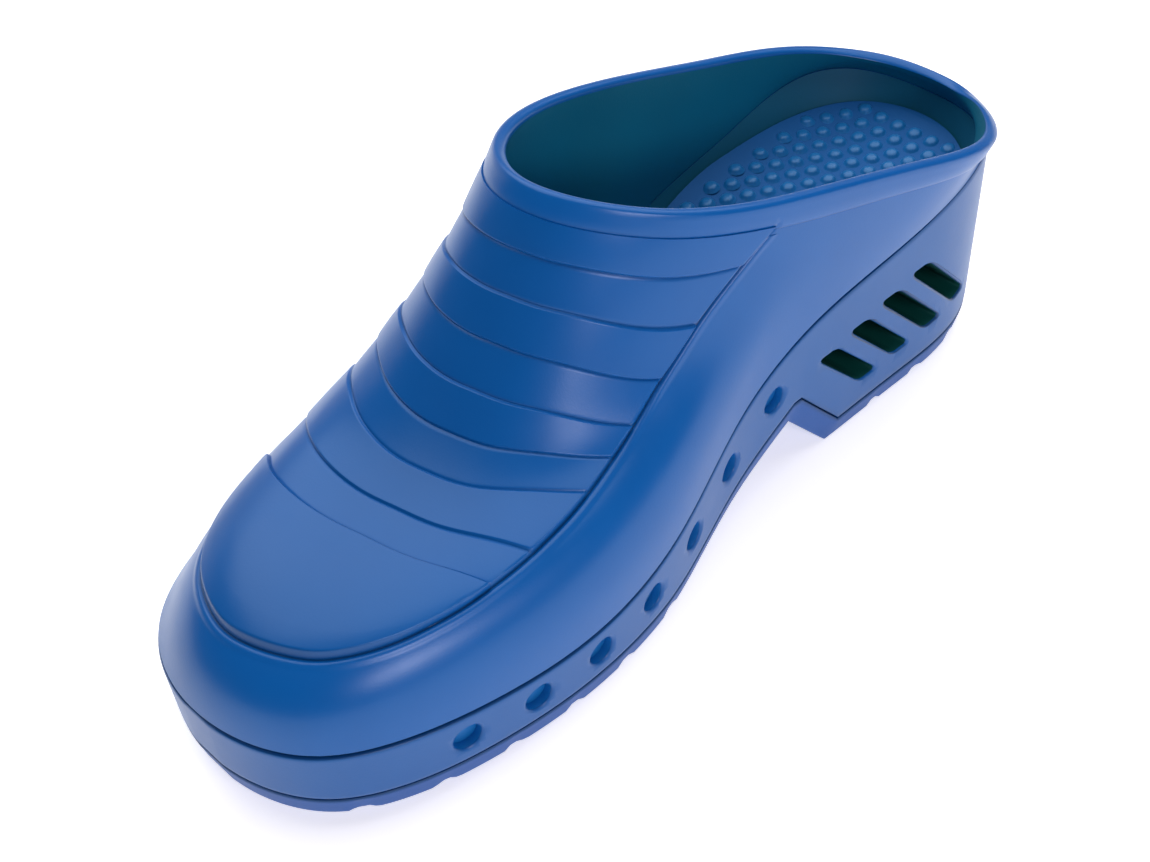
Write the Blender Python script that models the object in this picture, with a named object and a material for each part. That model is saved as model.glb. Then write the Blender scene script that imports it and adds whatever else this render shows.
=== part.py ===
# Work clog, left shoe, moulded in blue thermoplastic elastomer.
# Metres, +Z up. The toe points to -Y and the outer (lateral) side to +X.
# The origin is at the middle of the shoe's box, on the ground.
# Shapes are worked out in shoe coordinates (x, station, height), where the station runs
# from 0 at the back of the heel to LENGTH at the toe tip.
import bmesh
import bpy
import numpy as np

# Driving sizes
LENGTH = 0.290              # sole outline, heel to toe tip
BALL_WIDTH = 0.101          # sole outline across the ball
HEEL_WIDTH = 0.0735         # sole outline across the heel
FEATHER_BALL = 0.025        # height of the line where upper meets sole, at the ball
FEATHER_HEEL = 0.067        # and at its highest, beside the heel
FEATHER_FLARE = 0.0007      # how far the feather line stands outside the tread line
INSTEP_HEIGHT = 0.1190      # front of the collar
COLLAR_BACK_HEIGHT = 0.0695
COLLAR_START = 0.0012       # station of the collar's back
COLLAR_LENGTH = 0.1668
COLLAR_WIDTH = 0.0790
WALL = 0.003                # upper, and the rim of the midsole under it
COLLAR_BAND = 0.0078        # height of the raised band round the collar
COLLAR_BAND_RISE = 0.0008
COLLAR_BAND_SHARE = 0.55    # most of a short section that the band may take
COLLAR_BAND_FOOT = 1.25     # where the band runs out, in heights of the band
BED_HEEL = 0.052            # top of the footbed at the heel
BED_BALL = 0.020
BED_CUP = 0.0035            # rise of the footbed towards its edge at the heel
INSOLE_THICKNESS = 0.004
SEAT_INSET = 0.005          # how far the cup wall slopes in from its rim to the seat
TREAD_THICKNESS = 0.0074
TREAD_INSET = 0.0018        # lug edges stand this far inside the tread line
TOE_SPRING = 0.0075
SPRING_START = 0.66         # share of the length where the toe begins to lift
HEEL_BEVEL = 0.0015         # lift at the very back of the heel
BREAST_FOOT = 0.091         # station of the heel breast at the ground
BREAST_TOP = 0.1085         # and at the arch
ARCH_RISE = 0.020
ARCH_END = 0.178            # station where the sole comes down to the ball
LUG_PITCH = 0.020
LUG_GAP = 0.0045
LUG_DEPTH = 0.003
LUG_SIDE_RUN = 0.0002       # run of a lug gap's side along the shoe
FIRST_LUG_GAP = 0.2705      # station of the gap nearest to the toe
VENT_COUNT = 7
VENT_DIAMETER = 0.0080
VENT_DEPTH = 0.0045
VENT_PITCH = 0.0214
FIRST_VENT = 0.2444         # station of the vent nearest to the toe
SLOT_COUNT = 4
SLOT_WIDTH = 0.0080
SLOT_HEIGHT = 0.0205        # of the slot nearest to the toe
SLOT_GROWTH = 0.0016        # each slot further back is this much taller
SLOT_DEPTH = 0.024
SLOT_PITCH = 0.0143
SLOT_LEAN = 0.95            # how far a slot leans to the toe for each unit of height
SLOT_CORNER = 0.0022
FIRST_SLOT = 0.0848         # station of the middle of the slot nearest to the toe
SLOT_FOOT = 0.0168          # height of that slot's lower end
SLOT_CLIMB = 0.0007         # each slot further back starts this much higher
CUTTER_REACH = 0.012        # how far vent and slot cutters stand out of the sole
FIT_GAP = 0.0003            # between pieces that lie on each other
INSOLE_GAP = 0.0006         # round the insole's edge, whose facets differ from the cup's

SKIN_COLUMNS = 96           # round the upper
SKIN_ROWS = 11              # from feather line to collar band
RUNGS = 44                  # cross sections along the sole
RUNG_CLEARANCE = 0.008      # least share of the length between two rungs
RUNG_POINTS = 4             # faces across the sole
BED_POINTS = 8              # faces across the footbed
CURVE_POINTS = 1600         # points a closed curve is read from

# Sole outline: station as a share of LENGTH, half widths as shares of half the local width
OUTLINE = (
    # station, lateral, medial
    (0.03, 0.648, 0.637),
    (0.09, 0.947, 0.914),
    (0.20, 1.018, 0.988),
    (0.33, 0.942, 0.870),
    (0.46, 0.869, 0.738),
    (0.58, 0.975, 0.837),
    (0.70, 1.022, 0.971),
    (0.81, 0.976, 0.972),
    (0.90, 0.855, 0.789),
    (0.96, 0.655, 0.552),
)
TOE_TIP_LEAN = -0.04        # x of the toe tip, as a share of half the ball width

# Collar, its outer edge: stations as shares of COLLAR_LENGTH, x as shares of half
# COLLAR_WIDTH, heights as shares of the way from its back to its front
COLLAR = (
    # name, station, x, height
    ("back", 0.002, -0.026, -0.010),
    ("back corner, lateral", 0.126, 0.927, 0.103),
    ("side, lateral", 0.367, 1.026, 0.361),
    ("instep side, lateral", 0.631, 0.907, 0.614),
    ("front corner, lateral", 0.874, 0.630, 0.857),
    ("front", 0.999, -0.039, 1.002),
    ("front corner, medial", 0.880, -0.799, 0.857),
    ("instep side, medial", 0.632, -1.007, 0.631),
    ("side, medial", 0.369, -0.975, 0.357),
    ("back corner, medial", 0.127, -0.733, 0.133),
)

# Sections of the upper, fanned from the sole outline to the collar. way is the share of
# the outline from heel to toe tip, collar the share of the collar's edge from back to
# front. feather is the height of the feather line, as a share of the way from
# FEATHER_BALL to FEATHER_HEEL. Each pair of in and up is a point of the section, as
# shares of its run towards the collar and of its rise.
SECTIONS = {
    "lateral": (
        # way, feather, collar, in1, up1, in2, up2, in3, up3, in4, up4
        (0.000, 0.880, 0.000, 0.20, 0.20, 0.40, 0.40, 0.60, 0.60, 0.80, 0.80),
        (0.125, 0.980, 0.125, 0.20, 0.20, 0.40, 0.40, 0.60, 0.60, 0.80, 0.80),
        (0.232, 0.830, 0.300, 0.20, 0.20, 0.40, 0.40, 0.60, 0.60, 0.80, 0.80),
        (0.360, 0.690, 0.520, 0.20, 0.20, 0.40, 0.40, 0.60, 0.60, 0.80, 0.80),
        (0.489, 0.290, 0.680, 0.06, 0.10, 0.34, 0.30, 0.75, 0.56, 0.93, 0.77),
        (0.662, 0.000, 0.830, 0.03, 0.17, 0.20, 0.30, 0.64, 0.45, 0.88, 0.73),
        (0.790, 0.070, 0.915, 0.04, 0.16, 0.15, 0.26, 0.59, 0.38, 0.83, 0.65),
        (0.900, 0.160, 0.960, 0.03, 0.14, 0.11, 0.24, 0.58, 0.33, 0.82, 0.60),
        (1.000, 0.200, 1.000, 0.03, 0.12, 0.11, 0.24, 0.55, 0.32, 0.81, 0.61),
    ),
    "medial": (
        (0.125, 0.980, 0.125, 0.20, 0.20, 0.40, 0.40, 0.60, 0.60, 0.80, 0.80),
        (0.232, 0.830, 0.300, 0.20, 0.20, 0.40, 0.40, 0.60, 0.60, 0.80, 0.80),
        (0.360, 0.690, 0.520, 0.20, 0.20, 0.40, 0.40, 0.60, 0.60, 0.80, 0.80),
        (0.489, 0.290, 0.680, 0.05, 0.10, 0.40, 0.27, 0.79, 0.56, 0.94, 0.78),
        (0.662, 0.000, 0.830, 0.03, 0.16, 0.22, 0.25, 0.59, 0.52, 0.85, 0.77),
        (0.790, 0.070, 0.915, 0.07, 0.10, 0.18, 0.19, 0.54, 0.44, 0.77, 0.68),
        (0.900, 0.160, 0.960, 0.06, 0.08, 0.15, 0.20, 0.53, 0.36, 0.78, 0.63),
    ),
}


def natural_spline(knots, values, at):
    """Cubic spline through the values at the knots, with free ends."""
    knots = np.asarray(knots, float)
    values = np.asarray(values, float)
    at = np.asarray(at, float)
    count = len(knots)
    step = np.diff(knots)
    system = np.eye(count)
    right = np.zeros_like(values)
    slope = np.diff(values, axis=0) / step.reshape(-1, *([1] * (values.ndim - 1)))
    for i in range(1, count - 1):
        system[i, i - 1:i + 2] = (step[i - 1], 2 * (step[i - 1] + step[i]), step[i])
        right[i] = 6 * (slope[i] - slope[i - 1])
    bend = np.linalg.solve(system, right.reshape(count, -1)).reshape(values.shape)
    i = np.clip(np.searchsorted(knots, at, side="right") - 1, 0, count - 2)
    shape = at.shape + (1,) * (values.ndim - 1)
    h = step[i].reshape(shape)
    a = ((knots[i + 1] - at).reshape(shape)) / h
    b = 1 - a
    curve = (a ** 3 - a) * bend[i] + (b ** 3 - b) * bend[i + 1]
    return a * values[i] + b * values[i + 1] + curve * h * h / 6


def closed_spline(knots, values, period, at):
    """Cubic spline that closes on itself after one period."""
    knots = np.asarray(knots, float)
    values = np.asarray(values, float)
    wide_knots = np.concatenate([knots - period, knots, knots + period])
    return natural_spline(wide_knots, np.concatenate([values] * 3), np.mod(at, period))


def smooth_step(t):
    t = np.clip(t, 0, 1)
    return t * t * (3 - 2 * t)


def closed_curve(points, middle, count):
    """Dense closed curve through the points, and the share of it run at each point.

    The share is 0 at the first point, 1 at the point numbered middle, and 2 back at the
    first, so both sides are measured alike.
    """
    points = np.asarray(points, float)
    ring = np.concatenate([points, points[:1]])
    chord = np.linalg.norm(np.diff(ring, axis=0), axis=1)
    knots = np.concatenate([[0], np.cumsum(chord)])
    at = np.linspace(0, knots[-1], count, endpoint=False)
    curve = closed_spline(knots[:-1], points, knots[-1], at)
    run = np.concatenate([[0], np.cumsum(np.linalg.norm(np.diff(curve, axis=0), axis=1))])
    whole = run[-1] + np.linalg.norm(curve[-1] - curve[0])
    half = np.interp(knots[middle], at, run)
    share = np.where(run <= half, run / half, 1 + (run - half) / (whole - half))
    return curve, share


def read_curve(curve, share, at):
    """Points of a closed curve at the given shares."""
    wide = np.concatenate([share - 2, share, share + 2])
    values = np.concatenate([curve] * 3)
    return np.stack([np.interp(np.mod(at, 2), wide, values[:, k])
                     for k in range(curve.shape[1])], -1)


def sole_outline():
    local = [HEEL_WIDTH + (BALL_WIDTH - HEEL_WIDTH) * smooth_step((row[0] - 0.2) / 0.5)
             for row in OUTLINE]
    lateral = [(row[1] * w / 2, row[0] * LENGTH) for row, w in zip(OUTLINE, local)]
    medial = [(-row[2] * w / 2, row[0] * LENGTH) for row, w in zip(OUTLINE, local)]
    tip = (TOE_TIP_LEAN * BALL_WIDTH / 2, LENGTH)
    points = [(0, 0)] + lateral + [tip] + medial[::-1]
    return closed_curve(points, len(lateral) + 1, CURVE_POINTS)


def collar_edge():
    rise = INSTEP_HEIGHT - COLLAR_BACK_HEIGHT
    points = [(row[2] * COLLAR_WIDTH / 2, COLLAR_START + row[1] * COLLAR_LENGTH,
               COLLAR_BACK_HEIGHT + row[3] * rise) for row in COLLAR]
    front = [row[0] for row in COLLAR].index("front")
    return closed_curve(points, front, CURVE_POINTS)


OUTLINE_CURVE, OUTLINE_SHARE = sole_outline()
COLLAR_CURVE, COLLAR_SHARE = collar_edge()


def section_rows():
    """All sections in one ring: lateral from heel to toe, then medial back to the heel."""
    lateral = list(SECTIONS["lateral"])
    medial = [(2 - row[0],) + row[1:2] + (2 - row[2],) + row[3:] for row in SECTIONS["medial"]]
    return np.array(lateral + medial[::-1])


def outline_at(share, out=0.0):
    """Plan points of the sole outline, moved outwards."""
    point = read_curve(OUTLINE_CURVE, OUTLINE_SHARE, share)
    ahead = read_curve(OUTLINE_CURVE, OUTLINE_SHARE, share + 0.004)
    behind = read_curve(OUTLINE_CURVE, OUTLINE_SHARE, share - 0.004)
    along = ahead - behind
    along = along / np.linalg.norm(along, axis=-1, keepdims=True)
    normal = np.stack([along[..., 1], -along[..., 0]], -1)
    return point + out * normal


def feather_height(share):
    rows = section_rows()
    part = closed_spline(rows[:, 0], rows[:, 1], 2, share)
    return FEATHER_BALL + part * (FEATHER_HEEL - FEATHER_BALL)


def upper_skin(shares, steps):
    """Outer surface of the upper, without its collar band.

    Each column runs from the feather line to the collar through four points of its
    section. Steps are shares of the section's own length.
    """
    rows = section_rows()
    turn = closed_spline(rows[:, 0], rows[:, 2] - rows[:, 0], 2, shares) + shares
    foot = np.concatenate([outline_at(shares, FEATHER_FLARE),
                           (feather_height(shares) + FIT_GAP)[:, None]], 1)
    top = read_curve(COLLAR_CURVE, COLLAR_SHARE, turn)
    pairs = closed_spline(rows[:, 0], rows[:, 3:], 2, shares)
    skin = []
    for k in range(len(shares)):
        run = top[k, :2] - foot[k, :2]
        rise = top[k, 2] - foot[k, 2]
        knots = [foot[k]]
        for inward, up in pairs[k].reshape(-1, 2):
            knots.append(np.append(foot[k, :2] + run * inward, foot[k, 2] + rise * up))
        knots = np.array(knots + [top[k]])
        chord = np.concatenate([[0], np.cumsum(np.linalg.norm(np.diff(knots, axis=0), axis=1))])
        dense = natural_spline(chord, knots, np.linspace(0, chord[-1], 81))
        length = np.concatenate([[0], np.cumsum(np.linalg.norm(np.diff(dense, axis=0), axis=1))])
        at = np.asarray(steps(length[-1])) * length[-1]
        skin.append(np.stack([np.interp(at, length, dense[:, i]) for i in range(3)], -1))
    return np.array(skin)


def skin_normals(skin):
    """Outward normals of a closed ring of columns."""
    around = np.roll(skin, -1, axis=0) - np.roll(skin, 1, axis=0)
    up = np.gradient(skin, axis=1)
    normal = np.cross(up, around)
    normal = normal / np.linalg.norm(normal, axis=-1, keepdims=True)
    middle = skin.mean(axis=(0, 1))
    if np.sum(normal[:, 0] * (skin[:, 0] - middle)) < 0:
        normal = -normal
    return normal


def band_steps(length):
    """Shares of a section: even rows, then the foot, the face and the top of the band."""
    band = min(COLLAR_BAND, COLLAR_BAND_SHARE * length)
    foot = 1 - COLLAR_BAND_FOOT * band / length
    return np.concatenate([np.linspace(0, foot, SKIN_ROWS), [1 - band / length, 1]])


def upper_rings():
    """Closed rings of the upper: up its outside, over the collar and down its inside."""
    shares = np.arange(SKIN_COLUMNS) * 2 / SKIN_COLUMNS
    skin = upper_skin(shares, band_steps)
    normal = skin_normals(skin)
    level = normal.copy()
    level[..., 2] *= smooth_step((skin[..., 2] - skin[:, :1, 2]) / (5 * WALL))
    level /= np.linalg.norm(level, axis=-1, keepdims=True)
    inner = skin - WALL * level
    plan = outline_at(shares, FEATHER_FLARE - WALL)
    inner[:, 0, :2] = plan
    inner[:, 0, 2] = skin[:, 0, 2]
    outer = skin.copy()
    outer[:, -2:] += COLLAR_BAND_RISE * normal[:, -2:]
    rings = [outer[:, i] for i in range(outer.shape[1])]
    return rings + [inner[:, i] for i in range(inner.shape[1] - 1, -1, -1)]


def share_at_station(part, out, side):
    """Outline share of one side at a part of its own length, from 0 at heel to 1 at toe."""
    scan = np.linspace(0, 1, 801) if side > 0 else np.linspace(2, 1, 801)
    station = outline_at(scan, out)[:, 1]
    low = station[0]
    span = station[-1] - low
    return np.interp(part * span + low, np.maximum.accumulate(station), scan)


def rung_loop(parts, out):
    """Closed loop of outline points at the rungs, with the outline share of each."""
    lateral = share_at_station(parts[1:-1], out, 1)
    medial = share_at_station(parts[1:-1], out, -1)
    shares = np.concatenate([[0], lateral, [1], medial[::-1]])
    return outline_at(shares, out), shares


def ground_profile(station):
    """Height of the tread's underside along the shoe, without its lug gaps."""
    spring = TOE_SPRING * (np.clip(station / LENGTH - SPRING_START, 0, 1) / (1 - SPRING_START)) ** 2
    bevel = HEEL_BEVEL * np.clip(1 - station / 0.012, 0, 1) ** 2
    breast = ARCH_RISE * (station - BREAST_FOOT) / (BREAST_TOP - BREAST_FOOT)
    fall = np.clip((ARCH_END - station) / (ARCH_END - BREAST_TOP), 0, 1)
    arch = ARCH_RISE * fall ** 1.8
    return spring + bevel + np.clip(np.minimum(breast, arch), 0, None)


def profile_kinks():
    """Stations where the tread's underside and its upper side turn sharply."""
    steep = ARCH_RISE / (BREAST_TOP - BREAST_FOOT)
    shift = TREAD_THICKNESS * (np.hypot(1, steep) - 1) / steep
    return np.array([BREAST_FOOT - shift, BREAST_FOOT, BREAST_TOP - shift, BREAST_TOP])


def tread_top(station):
    """Height of the tread's upper side, one thickness off its underside."""
    steep = ARCH_RISE / (BREAST_TOP - BREAST_FOOT)
    breast = steep * (station - BREAST_FOOT) + TREAD_THICKNESS * np.hypot(1, steep)
    fall = np.clip((ARCH_END - station) / (ARCH_END - BREAST_TOP), 0, 1)
    arch = ARCH_RISE * fall ** 1.8 + TREAD_THICKNESS
    block = np.maximum(TREAD_THICKNESS, np.minimum(breast, arch))
    spring = TOE_SPRING * (np.clip(station / LENGTH - SPRING_START, 0, 1) / (1 - SPRING_START)) ** 2
    return block + spring


def bed_profile(station):
    """Height of the footbed along the middle of the shoe."""
    part = station / LENGTH
    spring = TOE_SPRING * (np.clip(part - SPRING_START, 0, 1) / (1 - SPRING_START)) ** 2
    drop = smooth_step((part - 0.22) / 0.46)
    return BED_HEEL + (BED_BALL - BED_HEEL) * drop + spring


def bed_height(station, across):
    """The footbed rises towards its edge, most at the heel."""
    cup = BED_CUP * (1 - 0.8 * smooth_step((station / LENGTH - 0.25) / 0.3))
    from_end = np.minimum(station, LENGTH - station) + seat_edge()
    end = np.clip(1 - from_end / (HEEL_WIDTH / 2), 0, 1)
    edge = 1 - (1 - np.abs(across) ** 3) * (1 - end ** 3)
    return bed_profile(station) + cup * edge


def seat_height(station):
    return bed_profile(station) - INSOLE_THICKNESS


def rung_grid(loop, columns):
    """Points across the sole: one at each end, a rung of columns + 1 between."""
    half = len(loop) // 2
    rungs = [loop[:1]]
    for k in range(1, half):
        t = np.linspace(0, 1, columns + 1)[:, None]
        rungs.append(loop[-k] * (1 - t) + loop[k] * t)
    rungs.append(loop[half:half + 1])
    return rungs


def add_grid(mesh, rungs, height, columns):
    """Skin across the sole. Returns the vertices of its border, in loop order."""
    grid = []
    for number, rung in enumerate(rungs):
        across = np.linspace(-1, 1, len(rung)) if len(rung) > 1 else np.ones(1)
        z = height(rung[:, 1], across, number)
        grid.append([mesh.verts.new((p[0], p[1], q)) for p, q in zip(rung, z)])
    for low, high in zip(grid, grid[1:]):
        for j in range(columns):
            corners = [low[min(j, len(low) - 1)], low[min(j + 1, len(low) - 1)],
                       high[min(j + 1, len(high) - 1)], high[min(j, len(high) - 1)]]
            kept = [v for i, v in enumerate(corners) if v not in corners[:i]]
            mesh.faces.new(kept)
    lateral = [row[-1] for row in grid]
    medial = [row[0] for row in grid[1:-1]]
    return lateral + medial[::-1]


def add_wall(mesh, first, second):
    """Band of faces between two closed loops of vertices."""
    count = len(first)
    for k in range(count):
        n = (k + 1) % count
        mesh.faces.new((first[k], first[n], second[n], second[k]))


def add_loop(mesh, points, heights):
    return [mesh.verts.new((p[0], p[1], z)) for p, z in zip(points, heights)]


def finish_mesh(mesh, name, move, material):
    """Turn shoe coordinates into world ones and make the object."""
    for vertex in mesh.verts:
        x, station, z = vertex.co
        vertex.co = (x + move[0], move[1] - station, z)
    bmesh.ops.recalc_face_normals(mesh, faces=mesh.faces[:])
    if mesh.calc_volume(signed=True) < 0:
        bmesh.ops.reverse_faces(mesh, faces=mesh.faces[:])
    data = bpy.data.meshes.new(name)
    mesh.to_mesh(data)
    mesh.free()
    data.materials.append(material)
    data.shade_smooth()
    data.set_sharp_from_angle(angle=np.radians(35))
    thing = bpy.data.objects.new(name, data)
    bpy.context.scene.collection.objects.link(thing)
    return thing


def make_material(name, colour, roughness):
    material = bpy.data.materials.new(name)
    material.use_nodes = True
    shader = material.node_tree.nodes["Principled BSDF"]
    shader.inputs["Base Color"].default_value = (*colour, 1)
    shader.inputs["Roughness"].default_value = roughness
    shader.inputs["Metallic"].default_value = 0.0
    return material


def make_upper(rings, move, material):
    mesh = bmesh.new()
    loops = [[mesh.verts.new(tuple(p)) for p in ring] for ring in rings]
    for first, second in zip(loops, loops[1:] + loops[:1]):
        add_wall(mesh, first, second)
    return finish_mesh(mesh, "upper", move, material)


def lug_gaps():
    """Stations of the gaps between lugs, under forefoot and heel."""
    fore = np.arange(FIRST_LUG_GAP, ARCH_END - LUG_PITCH, -LUG_PITCH)
    heel = np.arange(BREAST_FOOT - 1.1 * LUG_PITCH, 0.3 * LUG_PITCH, -LUG_PITCH)
    return np.concatenate([fore, heel])


def plain_rungs():
    """Rungs crowded towards heel and toe, as shares of the length."""
    return (1 - np.cos(np.linspace(0, np.pi, RUNGS + 1))) / 2


def sole_rungs():
    """Rungs of midsole and outsole, with the lift of the outsole's underside at each.

    Further rungs stand where the profile turns and at both edges of each lug gap.
    """
    half = LUG_GAP / 2
    whole = half + LUG_SIDE_RUN
    lifts = {station / LENGTH: 0.0 for station in profile_kinks()}
    for gap in lug_gaps():
        for place, lift in ((gap - whole, 0.0), (gap - half, LUG_DEPTH),
                            (gap + half, LUG_DEPTH), (gap + whole, 0.0)):
            lifts[place / LENGTH] = lift
    placed = np.array(sorted(lifts))
    even = plain_rungs()
    clear = np.abs(even[:, None] - placed[None]).min(axis=1) > RUNG_CLEARANCE
    clear[[0, -1]] = True
    parts = np.sort(np.concatenate([even[clear], placed]))
    return parts, np.array([lifts.get(part, 0.0) for part in parts])


def seat_edge():
    return FEATHER_FLARE - WALL - SEAT_INSET


def make_midsole(move, material):
    parts, _ = sole_rungs()
    mesh = bmesh.new()
    seat, _ = rung_loop(parts, seat_edge())
    seat_border = add_grid(mesh, rung_grid(seat, RUNG_POINTS),
                           lambda s, across, k: seat_height(s), RUNG_POINTS)
    inner, inner_share = rung_loop(parts, FEATHER_FLARE - WALL)
    rim_inner = add_loop(mesh, inner, feather_height(inner_share))
    outer, outer_share = rung_loop(parts, FEATHER_FLARE)
    rim_outer = add_loop(mesh, outer, feather_height(outer_share))
    foot, _ = rung_loop(parts, 0.0)
    foot_border = add_grid(mesh, rung_grid(foot, RUNG_POINTS),
                           lambda s, across, k: tread_top(s) + FIT_GAP, RUNG_POINTS)
    add_wall(mesh, seat_border, rim_inner)
    add_wall(mesh, rim_inner, rim_outer)
    add_wall(mesh, rim_outer, foot_border)
    body = finish_mesh(mesh, "midsole", move, material)
    cutter = make_sole_cutter(move)
    cut = body.modifiers.new("vents and slots", "BOOLEAN")
    cut.operation = "DIFFERENCE"
    cut.solver = "EXACT"
    cut.object = cutter
    return body


def add_prism(mesh, outline, start, end):
    """Closed prism of a flat outline from one offset to another."""
    first = [mesh.verts.new(tuple(p + start)) for p in outline]
    second = [mesh.verts.new(tuple(p + end)) for p in outline]
    add_wall(mesh, first, second)
    mesh.faces.new(first[::-1])
    mesh.faces.new(second)


def vent_places():
    """Share and height of each vent: halfway between tread and feather line."""
    places = []
    for side in (1, -1):
        scan = np.linspace(0, 1, 1201) if side > 0 else np.linspace(2, 1, 1201)
        line = outline_at(scan)
        run = np.concatenate([[0], np.cumsum(np.linalg.norm(np.diff(line, axis=0), axis=1))])
        first = np.interp(FIRST_VENT, np.maximum.accumulate(line[:, 1]), run)
        for k in range(VENT_COUNT):
            share = np.interp(first - k * VENT_PITCH, run, scan)
            station = outline_at(np.array([share]))[0, 1]
            height = (tread_top(station) + feather_height(np.array([share]))[0]) / 2
            places.append((share, height))
    return places


def rounded_slot(tall):
    """Slot outline in (station, height): a leaning box with round corners."""
    points = []
    for corner_s, corner_z in ((-1, -1), (1, -1), (1, 1), (-1, 1)):
        start = {(-1, -1): 180, (1, -1): 270, (1, 1): 0, (-1, 1): 90}[(corner_s, corner_z)]
        for step in range(3):
            angle = np.radians(start + 45 * step)
            s = corner_s * (SLOT_WIDTH / 2 - SLOT_CORNER) + SLOT_CORNER * np.cos(angle)
            z = corner_z * (tall / 2 - SLOT_CORNER) + SLOT_CORNER * np.sin(angle)
            points.append((s + SLOT_LEAN * z, z))
    return points


def slot_places():
    """Middle station, middle height and own height of each slot."""
    for k in range(SLOT_COUNT):
        tall = SLOT_HEIGHT + k * SLOT_GROWTH
        yield FIRST_SLOT - k * SLOT_PITCH, SLOT_FOOT + k * SLOT_CLIMB + tall / 2, tall


def make_sole_cutter(move):
    mesh = bmesh.new()
    for share, height in vent_places():
        here = outline_at(np.array([share]))[0]
        out = outline_at(np.array([share]), 1.0)[0] - here
        side = np.array([-out[1], out[0], 0])
        turn = np.linspace(0, 2 * np.pi, 12, endpoint=False)[:, None]
        circle = VENT_DIAMETER / 2 * (np.cos(turn) * side + np.sin(turn) * np.array([0, 0, 1.0]))
        centre = np.array([here[0], here[1], height])
        away = np.array([out[0], out[1], 0])
        add_prism(mesh, circle + centre, -VENT_DEPTH * away, CUTTER_REACH * away)
    for station, height, tall in slot_places():
        flat = np.array([(0, station + s, height + z) for s, z in rounded_slot(tall)])
        for side in (1, -1):
            edge = outline_at(share_at_station(np.array([station / LENGTH]), 0, side))[0]
            wall = np.array([edge[0], 0, 0])
            inward = np.array([-side * SLOT_DEPTH, 0, 0])
            add_prism(mesh, flat + wall, inward, np.array([side * CUTTER_REACH, 0, 0]))
    cutter = finish_mesh(mesh, "vent_cutter", move, make_material("cutter", (1, 0, 0), 0.5))
    cutter.hide_render = True
    cutter.display_type = "WIRE"
    return cutter


def make_outsole(move, material):
    parts, lifts = sole_rungs()
    mesh = bmesh.new()
    top, _ = rung_loop(parts, 0.0)
    top_border = add_grid(mesh, rung_grid(top, RUNG_POINTS),
                          lambda s, across, k: tread_top(s), RUNG_POINTS)
    foot, _ = rung_loop(parts, -TREAD_INSET)
    foot_border = add_grid(mesh, rung_grid(foot, RUNG_POINTS),
                           lambda s, across, k: ground_profile(s) + lifts[k], RUNG_POINTS)
    add_wall(mesh, top_border, foot_border)
    return finish_mesh(mesh, "outsole", move, material)


def make_insole(move, material):
    parts = plain_rungs()
    inset = seat_edge() - INSOLE_GAP
    mesh = bmesh.new()
    foot, share = rung_loop(parts, inset)
    foot_border = add_grid(mesh, rung_grid(foot, BED_POINTS),
                           lambda s, across, k: seat_height(s) + FIT_GAP, BED_POINTS)
    depth = feather_height(share) - seat_height(foot[:, 1])
    rise = bed_height(foot[:, 1], 1.0) - seat_height(foot[:, 1])
    out = np.clip(rise / depth, 0, 1) * SEAT_INSET
    top = np.array([outline_at(np.array([a]), inset + o)[0] for a, o in zip(share, out)])
    top_border = add_grid(mesh, rung_grid(top, BED_POINTS),
                          lambda s, across, k: bed_height(s, across), BED_POINTS)
    add_wall(mesh, top_border, foot_border)
    return finish_mesh(mesh, "insole", move, material)


def main():
    for thing in list(bpy.data.objects):
        bpy.data.objects.remove(thing)
    rings = upper_rings()
    points = np.concatenate(rings + [outline_at(np.linspace(0, 2, 400), FEATHER_FLARE)
                                     @ np.eye(2, 3)])
    low = points.min(axis=0)
    high = points.max(axis=0)
    move = (-(low[0] + high[0]) / 2, (low[1] + high[1]) / 2)
    blue = make_material("moulded blue elastomer", (0.028, 0.125, 0.36), 0.38)
    sole_blue = make_material("moulded blue sole elastomer", (0.030, 0.115, 0.33), 0.45)
    tread_blue = make_material("moulded blue tread elastomer", (0.022, 0.095, 0.30), 0.5)
    bed_blue = make_material("moulded blue footbed", (0.030, 0.12, 0.34), 0.5)
    make_upper(rings, move, blue)
    make_midsole(move, sole_blue)
    make_outsole(move, tread_blue)
    make_insole(move, bed_blue)


main()
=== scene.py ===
# Work clog, left shoe: the looks. Metres, +Z up, toe to -Y, outer (lateral) side to +X.
# Shapes are worked out in shoe coordinates (x, station, height), with the station running
# from 0 at the back of the heel to the full length at the toe tip.
import math

import bmesh
import bpy
import numpy as np
from mathutils import Matrix, Vector


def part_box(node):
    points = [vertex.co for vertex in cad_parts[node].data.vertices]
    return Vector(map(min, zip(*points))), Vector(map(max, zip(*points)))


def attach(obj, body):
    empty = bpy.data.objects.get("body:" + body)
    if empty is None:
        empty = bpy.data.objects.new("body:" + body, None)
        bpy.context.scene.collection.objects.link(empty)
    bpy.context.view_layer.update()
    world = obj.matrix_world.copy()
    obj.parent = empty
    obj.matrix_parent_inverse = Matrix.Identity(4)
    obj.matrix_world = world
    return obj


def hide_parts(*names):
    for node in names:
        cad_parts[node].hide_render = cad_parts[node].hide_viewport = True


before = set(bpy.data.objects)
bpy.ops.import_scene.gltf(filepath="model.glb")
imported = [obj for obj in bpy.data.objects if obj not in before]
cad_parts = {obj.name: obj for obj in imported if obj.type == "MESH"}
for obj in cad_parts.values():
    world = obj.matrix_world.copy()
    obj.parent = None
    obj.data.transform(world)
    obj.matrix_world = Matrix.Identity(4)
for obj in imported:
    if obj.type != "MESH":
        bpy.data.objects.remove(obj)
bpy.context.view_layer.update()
print("frame loaded:", sorted(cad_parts))

straight = (0.20, 0.20, 0.40, 0.40, 0.60, 0.60, 0.80, 0.80)  # a section with no bend

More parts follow.
